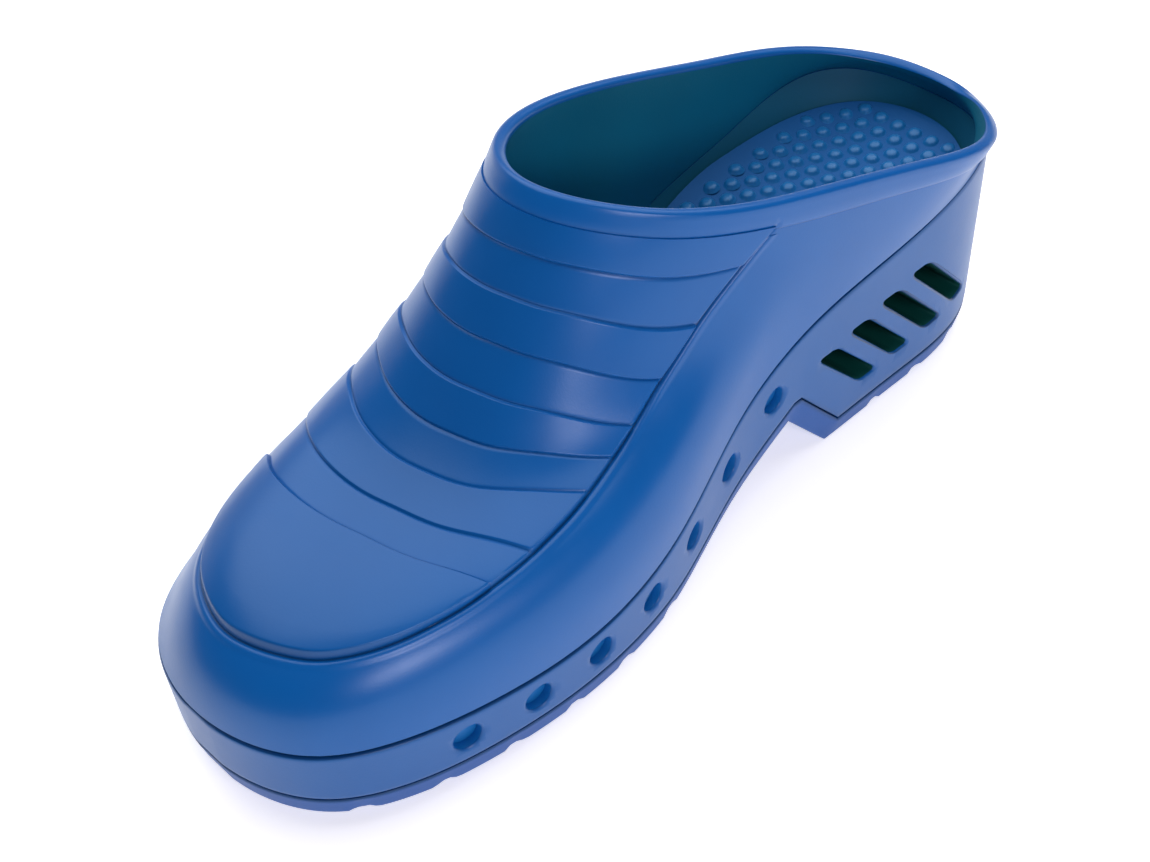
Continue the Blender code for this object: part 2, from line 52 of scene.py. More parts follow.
last = {
    "length": 0.290, "ballWidth": 0.101, "heelWidth": 0.0735,
    "featherBall": 0.025, "featherHeel": 0.067, "featherFlare": 0.0007,
    "instepHeight": 0.1190, "collarBackHeight": 0.0695,
    "collarStart": 0.0012, "collarLength": 0.1668, "collarWidth": 0.0790,
    "tipLean": -0.04, "wall": 0.003, "gap": 0.0003,
    "bedHeel": 0.052, "bedBall": 0.020, "bedCup": 0.0035, "insole": 0.004, "seatInset": 0.005,
    "tread": 0.0074, "treadInset": 0.0018, "toeSpring": 0.0075, "springStart": 0.66,
    "heelBevel": 0.0015, "bevelRun": 0.012, "breastFoot": 0.091, "breastTop": 0.1085,
    "archRise": 0.020, "archEnd": 0.178,
    # sole outline: station as a share of the length, half widths as shares of half the width
    "outline": (
        # station, lateral, medial
        (0.03, 0.648, 0.637),
        (0.09, 0.947, 0.914),
        (0.20, 1.018, 0.988),
        (0.33, 0.942, 0.870),
        (0.46, 0.869, 0.738),
        (0.58, 0.975, 0.837),
        (0.70, 1.022, 0.971),
        (0.81, 0.976, 0.972),
        (0.90, 0.855, 0.789),
        (0.96, 0.655, 0.552),
    ),
    # collar's outer edge: station, x and height as shares of its length, half width and rise
    "collar": (
        # station, x, height
        (0.002, -0.026, -0.010),
        (0.126, 0.927, 0.103),
        (0.367, 1.026, 0.361),
        (0.631, 0.907, 0.614),
        (0.874, 0.630, 0.857),
        (0.999, -0.039, 1.002),
        (0.880, -0.799, 0.857),
        (0.632, -1.007, 0.631),
        (0.369, -0.975, 0.357),
        (0.127, -0.733, 0.133),
    ),
    "collarFront": 5,
    # sections of the upper: outline share, feather height, collar share, then four points,
    # each a share of the run towards the collar and a share of the rise
    "lateral": (
        # way, feather, collar, in1, up1, in2, up2, in3, up3, in4, up4
        (0.000, 0.880, 0.000, *straight),
        (0.125, 0.980, 0.125, *straight),
        (0.232, 0.830, 0.300, *straight),
        (0.360, 0.690, 0.520, *straight),
        (0.489, 0.290, 0.680, 0.06, 0.10, 0.34, 0.30, 0.75, 0.56, 0.93, 0.77),
        (0.662, 0.000, 0.830, 0.03, 0.17, 0.20, 0.30, 0.64, 0.45, 0.88, 0.73),
        (0.790, 0.070, 0.915, 0.04, 0.16, 0.15, 0.26, 0.59, 0.38, 0.83, 0.65),
        (0.900, 0.160, 0.960, 0.03, 0.14, 0.11, 0.24, 0.58, 0.33, 0.82, 0.60),
        (1.000, 0.200, 1.000, 0.03, 0.12, 0.11, 0.24, 0.55, 0.32, 0.81, 0.61),
    ),
    "medial": (
        (0.125, 0.980, 0.125, *straight),
        (0.232, 0.830, 0.300, *straight),
        (0.360, 0.690, 0.520, *straight),
        (0.489, 0.290, 0.680, 0.05, 0.10, 0.40, 0.27, 0.79, 0.56, 0.94, 0.78),
        (0.662, 0.000, 0.830, 0.03, 0.16, 0.22, 0.25, 0.59, 0.52, 0.85, 0.77),
        (0.790, 0.070, 0.915, 0.07, 0.10, 0.18, 0.19, 0.54, 0.44, 0.77, 0.68),
        (0.900, 0.160, 0.960, 0.06, 0.08, 0.15, 0.20, 0.53, 0.36, 0.78, 0.63),
    ),
}


def smooth(t):  # smooth step: 3 t squared less 2 t cubed, held between 0 and 1
    t = np.clip(t, 0, 1)
    return t * t * (3 - 2 * t)


def bump(t):  # a bell: 1 at 0, falling smoothly to 0 at -1 and 1
    return smooth(1 - np.abs(t))


def quarterRound(radius, way):  # inset of a rounded edge: radius at way 0, nothing from way 1
    return radius * (1 - np.sqrt(np.clip(1 - (1 - np.clip(way, 0, 1)) ** 2, 0, 1)))


def splines(knots, values, at):
    # natural cubic splines, many at once: second derivatives solve the usual tridiagonal
    # system, and each stretch is the cubic that takes its end values and bends
    count = knots.shape[1]
    step = np.diff(knots, axis=1)
    slope = np.diff(values, axis=1) / step[..., None]
    system = np.zeros(knots.shape + (count,))
    system[:, 0, 0] = system[:, -1, -1] = 1
    inner = np.arange(1, count - 1)
    system[:, inner, inner - 1] = step[:, :-1]
    system[:, inner, inner] = 2 * (step[:, :-1] + step[:, 1:])
    system[:, inner, inner + 1] = step[:, 1:]
    right = np.zeros_like(values)
    right[:, 1:-1] = 6 * (slope[:, 1:] - slope[:, :-1])
    bend = np.linalg.solve(system, right)
    place = (at[..., None] >= knots[:, None, 1:-1]).sum(-1)
    row = np.arange(len(knots))[:, None]
    h = step[row, place][..., None]
    a = (knots[row, place + 1] - at)[..., None] / h
    b = 1 - a
    curve = (a ** 3 - a) * bend[row, place] + (b ** 3 - b) * bend[row, place + 1]
    return a * values[row, place] + b * values[row, place + 1] + curve * h * h / 6


def ringTable(knots, values, period, at):  # closed spline through a table, read at any place
    wide = np.concatenate([knots - period, knots, knots + period])
    tall = np.concatenate([values] * 3)
    flat = np.mod(np.asarray(at, float), period).reshape(1, -1)
    found = splines(wide[None], tall.reshape(len(wide), -1)[None], flat)[0]
    return found.reshape(np.shape(at) + values.shape[1:])


def closedCurve(points, middle, count=4000):
    # closed spline through the points, knotted by chord; its share runs 0 to 1 from the
    # first point to the middle one, and 1 to 2 back
    points = np.asarray(points, float)
    chord = np.linalg.norm(np.diff(np.concatenate([points, points[:1]]), axis=0), axis=1)
    knots = np.concatenate([[0], np.cumsum(chord)])
    at = np.linspace(0, knots[-1], count, endpoint=False)
    curve = ringTable(knots[:-1], points, knots[-1], at)
    run = np.concatenate([[0], np.cumsum(np.linalg.norm(np.diff(curve, axis=0), axis=1))])
    whole = run[-1] + np.linalg.norm(curve[-1] - curve[0])
    half = np.interp(knots[middle], at, run)
    share = np.where(run <= half, run / half, 1 + (run - half) / (whole - half))
    return curve, share


def readCurve(curve, at):  # point of a closed curve at a share of it
    line, share = curve
    wide = np.concatenate([share - 2, share, share + 2])
    tall = np.concatenate([line] * 3)
    return np.stack([np.interp(np.mod(at, 2), wide, tall[:, k]) for k in range(line.shape[1])], -1)


def makeOutline():
    rows = np.array(last["outline"])
    wider = last["ballWidth"] - last["heelWidth"]
    width = last["heelWidth"] + wider * smooth((rows[:, 0] - 0.2) / 0.5)
    station = rows[:, 0] * last["length"]
    lateral = np.stack([rows[:, 1] * width / 2, station], -1)
    medial = np.stack([-rows[:, 2] * width / 2, station], -1)
    tip = [[last["tipLean"] * last["ballWidth"] / 2, last["length"]]]
    return closedCurve(np.concatenate([[[0, 0]], lateral, tip, medial[::-1]]), len(rows) + 1)


def makeCollar():
    rows = np.array(last["collar"])
    rise = last["instepHeight"] - last["collarBackHeight"]
    points = np.stack([rows[:, 1] * last["collarWidth"] / 2,
                       last["collarStart"] + rows[:, 0] * last["collarLength"],
                       last["collarBackHeight"] + rows[:, 2] * rise], -1)
    return closedCurve(points, last["collarFront"])


outlineCurve = makeOutline()
collarCurve = makeCollar()
sections = np.array(list(last["lateral"])
                    + [(2 - r[0], r[1], 2 - r[2]) + r[3:] for r in last["medial"]][::-1])
shoeShift = (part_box("outsole")[1].x - outlineCurve[0][:, 0].max(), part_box("outsole")[1].y)
seatEdge = last["featherFlare"] - last["wall"] - last["seatInset"]  # seat's edge, from the outline
breastSlope = last["archRise"] / (last["breastTop"] - last["breastFoot"])


def toWorld(points):  # shoe coordinates to the frame's: the station runs towards -Y
    x, station, height = np.moveaxis(points, -1, 0)
    return np.stack([x + shoeShift[0], shoeShift[1] - station, height], -1)


def outlineAt(share, out=0.0):  # outline point, moved outwards along its own normal
    point = readCurve(outlineCurve, share)
    along = readCurve(outlineCurve, share + 0.004) - readCurve(outlineCurve, share - 0.004)
    along = along / np.linalg.norm(along, axis=-1, keepdims=True)
    return point + np.asarray(out)[..., None] * np.stack([along[..., 1], -along[..., 0]], -1)


def featherHeight(share):
    part = ringTable(sections[:, 0], sections[:, 1], 2, share)
    return last["featherBall"] + part * (last["featherHeel"] - last["featherBall"])


def upperSurface(share, t):
    # outer skin of the upper: at each share of the outline a section leaves the feather line,
    # passes four points and ends on the collar; t is the part of its chord length
    flat = np.ravel(share)
    turn = ringTable(sections[:, 0], sections[:, 2] - sections[:, 0], 2, flat) + flat
    foot = np.concatenate([outlineAt(flat, last["featherFlare"]),
                           featherHeight(flat)[:, None] + last["gap"]], 1)
    top = readCurve(collarCurve, turn)
    pairs = ringTable(sections[:, 0], sections[:, 3:], 2, flat).reshape(-1, 4, 2)
    run = (top - foot)[:, None, :2] * pairs[..., :1]
    rise = (top - foot)[:, None, 2:] * pairs[..., 1:]
    inner = foot[:, None] + np.concatenate([run, rise], -1)
    points = np.concatenate([foot[:, None], inner, top[:, None]], 1)
    chord = np.linalg.norm(np.diff(points, axis=1), axis=-1)
    knots = np.concatenate([np.zeros((len(flat), 1)), np.cumsum(chord, axis=1)], 1)
    found = splines(knots, points, np.ravel(t)[:, None] * knots[:, -1:])
    return found.reshape(np.shape(share) + (3,))


def surfaceNormals(share, t):  # outward unit normals, from small steps both ways
    ahead = upperSurface(share + 0.004, t) - upperSurface(share - 0.004, t)
    above = upperSurface(share, np.minimum(t + 0.01, 1))
    up = above - upperSurface(share, np.maximum(t - 0.01, 0))
    normal = np.cross(up, ahead)
    return -normal / np.linalg.norm(normal, axis=-1, keepdims=True)


def sectionLength(share):  # length of the section from feather line to collar
    t = np.linspace(0, 1, 25)
    line = upperSurface(np.repeat(share[:, None], len(t), 1), np.repeat(t[None], len(share), 0))
    return np.linalg.norm(np.diff(line, axis=1), axis=-1).sum(1)


def addThing(name, data):
    thing = bpy.data.objects.new(name, data)
    bpy.context.scene.collection.objects.link(thing)
    return thing


def makePiece(name, points, faces, smoothAngle=35.0, finish=None, paintedShade=None):
    # a mesh straight from arrays: points in the frame, faces as rows of corner numbers, the
    # number of each face's material where a piece has more than one, and how much painted
    # shade each point takes in a crease, 0 to 1
    mesh = bpy.data.meshes.new(name)
    corners = [face for part in faces for face in part.tolist()]
    mesh.from_pydata(points.reshape(-1, 3).tolist(), [], corners)
    mesh.update()
    if finish is not None:
        mesh.polygons.foreach_set("material_index", finish)
    if paintedShade is not None:
        depth = mesh.attributes.new("paintedShade", "FLOAT", "POINT")
        depth.data.foreach_set("value", np.ravel(paintedShade).astype(np.float32))
    solid = bmesh.new()
    solid.from_mesh(mesh)
    bmesh.ops.remove_doubles(solid, verts=solid.verts[:], dist=1e-6)
    bmesh.ops.recalc_face_normals(solid, faces=solid.faces[:])
    if solid.calc_volume(signed=True) < 0:
        bmesh.ops.reverse_faces(solid, faces=solid.faces[:])
    solid.to_mesh(mesh)
    solid.free()
    mesh.shade_smooth()
    mesh.set_sharp_from_angle(angle=math.radians(smoothAngle))
    piece = addThing(name, mesh)
    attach(piece, "root")
    return piece


def gridFaces(rows, columns, start=0, closed=False):
    # quads of a grid stored row by row; closed joins the last column to the first
    number = start + np.arange(rows * columns).reshape(rows, columns)
    right = np.roll(number, -1, 1) if closed else number[:, 1:]
    left = number if closed else number[:, :-1]
    return np.stack([left[:-1], right[:-1], right[1:], left[1:]], -1).reshape(-1, 4)


# Upper

vamp = {
    "columns": 720, "wallRows": 46, "panelRows": 26, "innerRows": 16,
    # band round the rim; it takes no more than bandShare of a short section, and the
    # panel's top edge laps onto it; a line of painted shade runs under its lower edge
    "bandHeight": 0.0078, "bandShare": 0.55, "bandRise": 0.0009,
    "bandCrease": 0.0006, "bandLap": 0.0006, "bandPaintedShade": 0.5,
    # the skin drops back and rounds over at the feather line
    "footRound": 0.0011, "footDepth": 0.0010,
    # border of the stepped panel: outline share on each side, and height up the section
    "border": (
        # lateral, medial, t
        (0.471, 1.535, 0.935),
        (0.511, 1.495, 0.856),
        (0.542, 1.462, 0.796),
        (0.599, 1.400, 0.706),
        (0.655, 1.335, 0.593),
        (0.692, 1.295, 0.466),
        (0.716, 1.262, 0.372),
        (0.755, 1.212, 0.292),
        (0.800, 1.155, 0.236),
        (0.850, 1.100, 0.196),
        (0.902, 1.050, 0.167),
    ),
    "borderFront": (0.980, 0.152),
    "borderBack": ((0.0, 0.70), (0.30, 0.74), (0.40, 0.86), (1.61, 0.86), (1.71, 0.74)),
    # the groove along the border, and the soft shoulder outside it
    "grooveDepth": 0.0006, "grooveWidth": 0.0009, "shoulderRise": 0.00025, "shoulderWidth": 0.0030,
    # the panel's edge: narrow on the sides, a wider slope round the toe with painted shade on it,
    # and painted shade along its foot; it starts under the skin by edgeSink, and the panel's back
    # lies inside the wall by panelBack
    "edgeWidth": 0.0010, "toeSlope": 0.0012, "toeMiddle": 0.97, "toeReach": 0.24,
    "slopeShade": 0.55, "edgeSink": 0.0005, "edgePaintedShade": 0.8, "panelBack": 0.0012,
    # step lines across the panel: the height of the line's middle up its section, where it
    # ends on the border at each side, and the height that the panel has below it
    "steps": (
        # middle, lateral, medial, level below in mm
        (0.902, 0.535, 1.440, 0.50),
        (0.829, 0.602, 1.385, 1.05),
        (0.757, 0.645, 1.345, 0.50),
        (0.679, 0.674, 1.312, 1.05),
        (0.609, 0.690, 1.290, 0.55),
        (0.535, 0.708, 1.262, 1.05),
        (0.460, 0.748, 1.212, 0.55),
        (0.390, 0.782, 1.165, 1.55),
    ),
    "topLevel": 1.05,
    "stepMiddle": 0.955,
    # width of each step, depth of the crease at its foot and strength of the painted shade in it, and
    # the crown of each band
    "stepWidth": 0.0007, "creaseDepth": 0.00022, "creaseShade": 0.36, "bandCrown": 0.00018,
}


def borderHeight(share):  # t of the panel's border, eased back to a plain line at the heel
    rows, back = np.array(vamp["border"]), np.array(vamp["borderBack"])
    ring = np.concatenate([back[:3], rows[:, [0, 2]], [vamp["borderFront"]],
                           rows[::-1][:, [1, 2]], back[3:]])
    return np.interp(np.mod(share, 2), np.append(ring[:, 0], 2), np.append(ring[:, 1], ring[0, 1]))


def softBorder(share):  # the border table read through a narrow average, so it has no corners
    offset = np.linspace(-0.02, 0.02, 21)
    weight = bump(offset / 0.024)
    wide = borderHeight(share[..., None] + offset)
    return (wide * weight).sum(-1) / weight.sum()


def bandTall(length):  # height of the rim's band on sections of these lengths
    return np.minimum(vamp["bandHeight"], vamp["bandShare"] * length)


def bandFoot(share):  # t of the panel's top edge, just above the lower edge of the band
    length = sectionLength(share)
    return 1 - (bandTall(length) - vamp["bandLap"]) / length


def borderTops():  # the two shares at which the border runs in under the rim's band
    share = np.linspace(0.40, 1.60, 4801)
    hidden = softBorder(share) >= bandFoot(share)
    middle = vamp["stepMiddle"]
    return share[hidden & (share < middle)].max(), share[hidden & (share > middle)].min()


borderEnds = borderTops()
borderShare = np.linspace(*borderEnds, 2400)
borderLine = upperSurface(borderShare, softBorder(borderShare))


def nearLine(points, line, reach=0.012):
    # distance from each point to a dense line, within reach, worked out in batches
    flat = points.reshape(-1, points.shape[-1])
    found = np.full(len(flat), reach)
    for start in range(0, len(flat), 4000):
        part = flat[start:start + 4000]
        gap = ((part[:, None] - line[None]) ** 2).sum(-1).min(1)
        found[start:start + 4000] = np.minimum(np.sqrt(gap), reach)
    return found.reshape(points.shape[:-1])


def makeUpper():
    # the shell is one closed grid: up the outside, round the lip and down the inside
    count = vamp["columns"]
    share = np.arange(count) * 2 / count
    length = sectionLength(share)
    band = bandTall(length) / length
    foot = 1 - band - vamp["bandCrease"] / length
    border = np.minimum(softBorder(share), foot - 0.02)
    ease = np.linspace(0, 1, vamp["wallRows"])
    ease = 1 - (1 - ease) ** 1.6
    footRows = np.array([0.35, 0.5, 0.65, 0.82, 1.0])[:, None] * vamp["footRound"] / length[None]
    start = footRows[-1:]
    wallT = np.concatenate([0 * start, footRows[:-1],
                            start + (border[None] - start) * ease[:, None]])
    rise = np.linspace(0, 1, vamp["panelRows"])[1:] ** 1.25
    panelT = border[None] + (foot - border)[None] * rise[:, None]
    # the band: out along its lower edge, up its face and into the round lip
    face = np.array([0.0, 0.12, 0.3, 0.55, 0.8])
    bandT = (1 - band)[None] + 0.86 * band[None] * face[:, None]
    t = np.concatenate([wallT, panelT, bandT])
    columns = np.repeat(share[None], len(t), 0)
    skin = upperSurface(columns, t)
    normal = surfaceNormals(columns, t)
    # a shoulder outside the border, less a groove along it
    near = nearLine(skin, borderLine) * np.where(t >= border[None], 1, -1)
    reach = vamp["shoulderWidth"] / 2
    out = vamp["shoulderRise"] * bump((np.clip(-near, 0, None) - reach) / reach)
    out -= vamp["grooveDepth"] * bump(near / vamp["grooveWidth"])
    bandStart = len(wallT) + len(panelT)
    out[bandStart:] += vamp["bandRise"] * np.minimum(1, 0.55 + 0.45 * face[:, None] / 0.3)
    climb = wallT * length[None] / vamp["footRound"]
    out[:len(wallT)] -= vamp["footDepth"] * (1 - smooth((climb - 0.35) / 0.65))
    # painted shade: along the border's groove, in a line under the band's lower edge, and up from the
    # feather line where the skin drops back; none on the band itself
    paintedShading = smooth(1.1 - np.abs(near) / (0.55 * vamp["grooveWidth"]))
    paintedShading[bandStart - 1] = vamp["bandPaintedShade"]
    paintedShading[bandStart:] = 0
    paintedShading[:len(wallT)] = np.maximum(paintedShading[:len(wallT)], 1 - smooth((climb - 0.45) / 0.4))
    skin = skin + normal * out[..., None]
    # the lip: half a turn from the band's face to the inside, as wide as the wall
    rim = upperSurface(share, np.ones(count))
    rimNormal = surfaceNormals(share, np.ones(count))
    up = rim - upperSurface(share, 1 - 0.02)
    up /= np.linalg.norm(up, axis=-1, keepdims=True)
    half = (last["wall"] + vamp["bandRise"]) / 2
    middle = rim - rimNormal * (half - vamp["bandRise"])
    turn = np.linspace(0, math.pi, 13)[1:]
    wide = half * np.sign(np.cos(turn)) * np.abs(np.cos(turn)) ** 0.8
    tall = half * 0.9 * (np.sin(turn).clip(0) ** 0.8 - 1)
    lip = middle[None] + rimNormal[None] * wide[:, None, None] + up[None] * tall[:, None, None]
    # the inside: the skin moved in by the wall
    innerT = np.linspace(0.93, 0, vamp["innerRows"])[:, None] * np.ones(count)
    innerShare = np.repeat(share[None], len(innerT), 0)
    inner = upperSurface(innerShare, innerT)
    level = surfaceNormals(innerShare, innerT)
    base = inner[-1:, :, 2]
    level[..., 2] *= smooth((inner[..., 2] - base) / (5 * last["wall"]))
    level /= np.linalg.norm(level, axis=-1, keepdims=True)
    inner = inner - last["wall"] * level
    inner[-1, :, :2] = outlineAt(share, last["featherFlare"] - last["wall"])
    rings = np.concatenate([skin, lip, inner, skin[:1]])
    points = toWorld(rings)
    faces = [gridFaces(len(rings), count, closed=True)]
    row = np.repeat(np.arange(len(rings) - 1), count)
    return makePiece("upper_shell", points, faces,
                     finish=(row >= len(skin) + len(lip) - 1).astype(int),
                     paintedShade=np.concatenate([paintedShading, np.zeros((len(rings) - len(paintedShading), count))]))


def stepLines(across):
    # each line of the panel as (share, t) along across, 0 at its lateral end and 1 at its
    # medial one: a step line is highest at the middle and falls with the power 1.75 of the
    # way to each end
    middle = vamp["stepMiddle"]
    share = borderEnds[0] + (borderEnds[1] - borderEnds[0]) * across
    lines = [np.stack([share, bandFoot(share)], -1)]
    for high, lateral, medial in (row[:3] for row in vamp["steps"]):
        share = lateral + (medial - lateral) * across
        end = np.where(share < middle, lateral, medial)
        part = np.abs((share - middle) / (end - middle)) ** 1.75
        lines.append(np.stack([share, high + (softBorder(end) - high) * part], -1))
    lines.append(np.stack([share, softBorder(share)], -1))
    return lines


def makePanel():
    # the stepped panel: rows follow the step lines, columns run from border to border; its
    # top stands on the shell by the level of each band, its back lies inside the wall
    edge = np.array([0, 0.0012, 0.0026, 0.0042, 0.0062, 0.009, 0.0125, 0.017])
    across = np.concatenate([edge, np.linspace(0.022, 0.978, 170), 1 - edge[::-1]])
    lines = stepLines(across)
    levels = [vamp["topLevel"]] + [row[3] for row in vamp["steps"]]
    rows, heights, shades = [], [], []
    for k, (first, second) in enumerate(zip(lines, lines[1:])):
        apart = np.linalg.norm(upperSurface(*first[90:91].T) - upperSurface(*second[90:91].T))
        crisp = vamp["stepWidth"] / apart
        part = np.concatenate([crisp * np.array([0, 0.2, 0.4, 0.6, 0.8, 1.0, 1.3, 1.8, 2.6]),
                               np.linspace(0, 1, 10)[2:-1],
                               1 - crisp * np.array([1.8, 1.0, 0.6, 0.3])])
        if k == len(lines) - 2:
            part = np.concatenate([part[part < 0.8], 1 - 0.2 * np.linspace(1, 0, 22)])
        before = levels[max(k - 1, 0)]
        for f in part:
            rows.append(first + (second - first) * f)
            height = before + (levels[k] - before) * smooth(f / crisp)
            crown = 1000 * vamp["bandCrown"] * (1 - (2 * f - 1) ** 2)
            # a fold is the crease at a step's foot: it sinks the panel's top and takes painted shade
            fold = bump((f / crisp - 1) / 0.8) if levels[k] < before else bump(f / crisp / 0.8)
            if k + 1 < len(levels) and levels[k + 1] > levels[k]:
                fold = max(fold, bump((1 - f) / crisp / 0.8))
            fold = fold if k else 0.0
            heights.append(height + crown - 1000 * vamp["creaseDepth"] * fold)
            shades.append(vamp["creaseShade"] * fold)
    rows = np.array(rows)
    heights = np.array(heights) / 1000
    share, t = rows[..., 0], rows[..., 1]
    wrongStart = softBorder(share[:, :1]) - t[:, :1]
    wrongEnd = softBorder(share[:, -1:]) - t[:, -1:]
    t = t + wrongStart * (1 - across) ** 8 + wrongEnd * across ** 8
    skin = upperSurface(share, t)
    normal = surfaceNormals(share, t)
    near = nearLine(skin, borderLine)
    toe = bump((share - vamp["toeMiddle"]) / vamp["toeReach"])
    width = vamp["edgeWidth"] + vamp["toeSlope"] * toe
    # the edge climbs straight and rounds over its last fifth, where it meets the panel's top
    way = np.clip(near / width, 0, 1)
    climb = np.where(way < 0.8, way / 0.9, 1 - (1 - way) ** 2 / 0.36)
    sink = vamp["edgeSink"]
    top = -sink + (heights[:, None] + sink) * climb
    # painted shade: in the step creases, along the edge's foot, and on the toe's slope
    paintedShading = np.maximum(np.array(shades)[:, None], vamp["edgePaintedShade"] * smooth(1.15 - near / sink))
    paintedShading = np.maximum(paintedShading, vamp["slopeShade"] * toe * smooth((1.1 - way) / 0.25))
    upper = skin + normal * top[..., None]
    under = skin - normal * vamp["panelBack"]
    count = len(across)
    points = toWorld(np.concatenate([upper, under]))
    total = len(rows)
    number = np.arange(2 * total * count).reshape(2, total, count)
    faces = [gridFaces(total, count), gridFaces(total, count, total * count)[:, ::-1]]
    for a, b in ((number[0, 0], number[1, 0]), (number[0, -1], number[1, -1]),
                 (number[0, :, 0], number[1, :, 0]), (number[0, :, -1], number[1, :, -1])):
        faces.append(np.stack([a[:-1], a[1:], b[1:], b[:-1]], -1))
    return makePiece("vamp_panel", points, faces,
                     paintedShade=np.concatenate([paintedShading, np.zeros_like(paintedShading)]))


# Sole

sole = {
    "rungs": 190,
    "lugPitch": 0.020, "lugGap": 0.0045, "lugDepth": 0.003, "lugSide": 0.0013,
    "firstLugGap": 0.2705, "lugRound": 0.0006, "lugBow": 0.0022,
    "ventCount": 7, "ventDiameter": 0.0080, "ventDepth": 0.0028, "ventPitch": 0.0214,
    "firstVent": 0.2444,
    "slotCount": 4, "slotWidth": 0.0080, "slotHeight": 0.0205, "slotGrowth": 0.0016,
    "slotDepth": 0.024, "slotPitch": 0.0143, "slotLean": 0.95, "slotCorner": 0.0022,
    "firstSlot": 0.0848, "slotFoot": 0.0168, "slotClimb": 0.0007,
    # mouth of a vent or slot: depth below the wall, and how much wider it is there
    "mouth": ((-0.00055, 0.0), (-0.0004, 0.00006), (-0.0002, 0.0002), (0.0, 0.0005),
              (0.0004, 0.0012)),
    # rings down the cup's outer wall, as parts of its height
    "wallRings": (0.0, 0.012, 0.03, 0.06, 0.10, 0.16, 0.24, 0.33, 0.43, 0.53, 0.63, 0.73,
                  0.82, 0.89, 0.94, 0.97, 0.99, 1.0),
    # rounded edges: how far back, and over what height
    "edgeRound": 0.0009, "edgeTall": 0.0012, "lipTall": 0.0011, "treadRound": 0.0008,
}


def springLift(station):
    part = np.clip(station / last["length"] - last["springStart"], 0, 1) / (1 - last["springStart"])
    return last["toeSpring"] * part ** 2


def archLift(station):
    fall = np.clip((last["archEnd"] - station) / (last["archEnd"] - last["breastTop"]), 0, 1)
    return last["archRise"] * fall ** 1.8


def groundProfile(station):
    breast = breastSlope * (station - last["breastFoot"])
    bevel = last["heelBevel"] * np.clip(1 - station / last["bevelRun"], 0, 1) ** 2
    return springLift(station) + bevel + np.clip(np.minimum(breast, archLift(station)), 0, None)


def treadTop(station):
    thick = last["tread"] * math.hypot(1, breastSlope)
    breast = breastSlope * (station - last["breastFoot"]) + thick
    block = np.maximum(last["tread"], np.minimum(breast, archLift(station) + last["tread"]))
    return block + springLift(station)


def bedMiddle(station):  # the footbed along its middle: down from the heel to the ball
    fall = smooth((station / last["length"] - 0.22) / 0.46)
    return last["bedHeel"] + (last["bedBall"] - last["bedHeel"]) * fall + springLift(station)


def seatHeight(station):  # top of the cup's seat, under the footbed
    return bedMiddle(station) - last["insole"]


def bedHeight(station, across):
    # the middle line, with an edge that rises all round and most at the heel
    part = station / last["length"]
    fromEnd = np.minimum(station, last["length"] - station) + seatEdge
    end = np.clip(1 - fromEnd / (last["heelWidth"] / 2), 0, 1)
    edge = 1 - (1 - np.abs(across) ** 3) * (1 - end ** 3)
    cup = last["bedCup"] * (1 - 0.8 * smooth((part - 0.25) / 0.3))
    return bedMiddle(station) + cup * edge


def lugGaps():
    pitch = sole["lugPitch"]
    fore = np.arange(sole["firstLugGap"], last["archEnd"] - pitch, -pitch)
    heel = np.arange(last["breastFoot"] - 1.1 * pitch, 0.3 * pitch, -pitch)
    return np.concatenate([fore, heel])


def lugLift(station, across):
    # depth of the tread's gaps: troughs across the shoe, bowed, and shallower at the sides
    bowed = station - sole["lugBow"] * (1 - np.abs(across) ** 1.5)
    lift = np.zeros(np.broadcast(station, across).shape)
    half = sole["lugGap"] / 2 + sole["lugRound"]
    for gap in lugGaps():
        lift = np.maximum(lift, smooth((half - np.abs(bowed - gap)) / (2 * sole["lugRound"])))
    less = (sole["lugDepth"] - sole["lugSide"]) * smooth((np.abs(across) - 0.80) / 0.2)
    return lift * (sole["lugDepth"] - less)


def rungParts():  # stations of the rungs as shares: crowded to both ends, and at every edge
    even = (1 - np.cos(np.linspace(0, np.pi, sole["rungs"] + 1))) / 2
    shift = last["tread"] * (math.hypot(1, breastSlope) - 1) / breastSlope
    breast = np.array([last["breastFoot"], last["breastTop"]])
    marks = np.sort(np.concatenate([breast - shift, breast])) / last["length"]
    keep = np.abs(even[:, None] - marks[None]).min(1) > 0.0012
    keep[[0, -1]] = True
    return np.sort(np.concatenate([even[keep], marks]))


def shareAtStation(part, out, side):
    scan = np.linspace(0, 1, 3001) if side > 0 else np.linspace(2, 1, 3001)
    station = outlineAt(scan, out)[:, 1]
    place = part * (station[-1] - station[0]) + station[0]
    return np.interp(place, np.maximum.accumulate(station), scan)


def loopShares(parts, out):
    lateral = shareAtStation(parts[1:-1], out, 1)
    medial = shareAtStation(parts[1:-1], out, -1)
    return np.concatenate([[0], lateral, [1], medial[::-1]])


